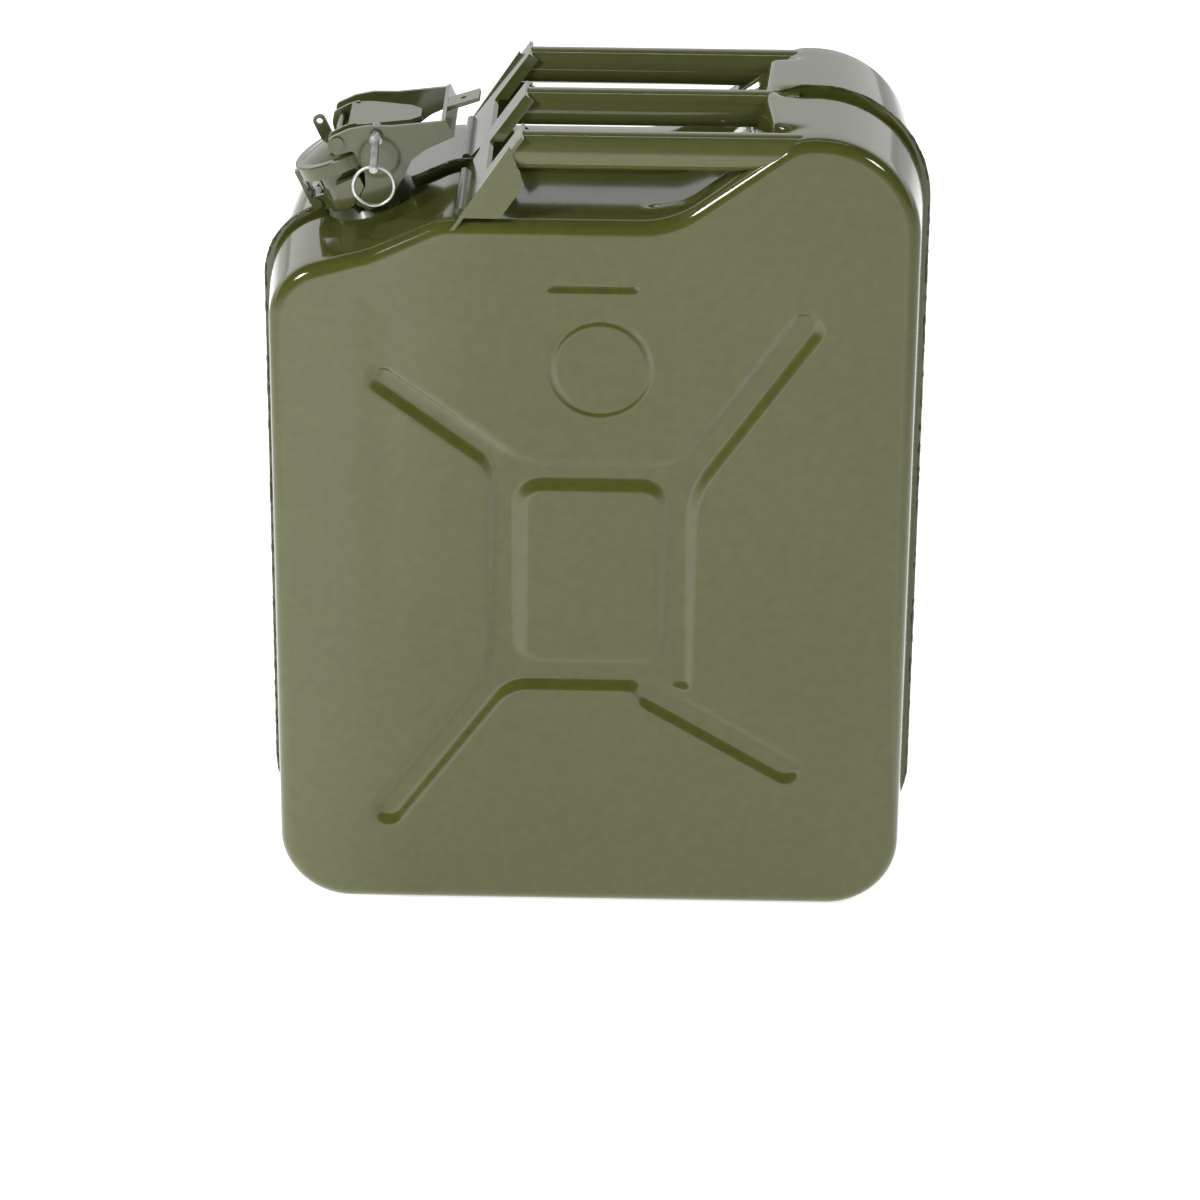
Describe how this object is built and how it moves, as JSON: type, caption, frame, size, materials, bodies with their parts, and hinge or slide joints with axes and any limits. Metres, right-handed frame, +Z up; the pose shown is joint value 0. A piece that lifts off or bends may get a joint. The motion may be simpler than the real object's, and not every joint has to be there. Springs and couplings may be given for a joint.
{
  "type": "jerry can",
  "caption": "Pressed-steel fuel can with tubular carrying handles, a tilted filler neck, a hinged lid with a U-shaped locking lever, and a loose locking pin on a ring",
  "frame": {"origin": "middle of the base, on the floor", "axes": "+Z up, X along the width with the filler neck at -X, Y through the thickness, and the lock pin on the -Y side"},
  "size_m": [0.361, 0.162, 0.4546],
  "materials": {
    "body_paint": "glossy olive green enamel",
    "closure_paint": "glossy olive green enamel, thicker at the edges",
    "gasket_rubber": "matt black moulded rubber",
    "zinc_plate": "bright zinc plate",
    "bare_steel": "bare drawn steel"
  },
  "bodies": {
    "can": {"left_side_panel": "body_paint", "left_lower_wall": "body_paint", "left_upper_wall": "body_paint", "right_side_panel": "body_paint", "right_lower_wall": "body_paint", "right_upper_wall": "body_paint", "seam_weld": "body_paint", "handle_bar_left": "body_paint", "handle_bar_middle": "body_paint", "handle_bar_right": "body_paint", "handle_front_bracket": "body_paint", "bracket_weld": "body_paint", "filler_neck": "body_paint", "mouth_lip": "body_paint", "neck_weld_collar": "body_paint", "hinge_ears": "body_paint", "latch_lug_left": "body_paint", "latch_lug_right": "body_paint", "lid_hinge_pin": "body_paint", "breather_pipe": "bare_steel"},
    "lid": {"lid_cap": "closure_paint", "lid_gasket": "gasket_rubber", "lid_hinge_strap": "closure_paint", "lid_saddle": "closure_paint", "lid_seal_lug": "closure_paint", "lid_stop_tab": "closure_paint", "lever_pivot_pin": "closure_paint"},
    "lever": {"locking_lever": "closure_paint"},
    "pin": {"lock_pin": "zinc_plate"},
    "ring": {"lock_pin_ring": "zinc_plate"}
  },
  "joints": [
    {"name": "lid_swing", "type": "hinge", "parent": "can", "child": "lid", "pos_m": [-0.14974, 0, 0.38741], "axis": [0, -1, 0], "range_deg": [0, 90]},
    {"name": "lever_lift", "type": "hinge", "parent": "lid", "child": "lever", "pos_m": [-0.13704, 0, 0.42809], "axis": [0, -1, 0], "range_deg": [0, 140]},
    {"name": "pin_pull", "type": "slide", "parent": "lever", "child": "pin", "axis": [0, -0.9205, -0.3907], "range_m": [0, 0.012]},
    {"name": "ring_swing", "type": "hinge", "parent": "pin", "child": "ring", "pos_m": [-0.11637, -0.05281, 0.42344], "axis": [-1, 0, 0], "range_deg": [-60, 110]}
  ],
  "couplings": [
    {"joint": "lever_lift", "follows": "lid_swing", "ratio": 1.555}
  ]
}
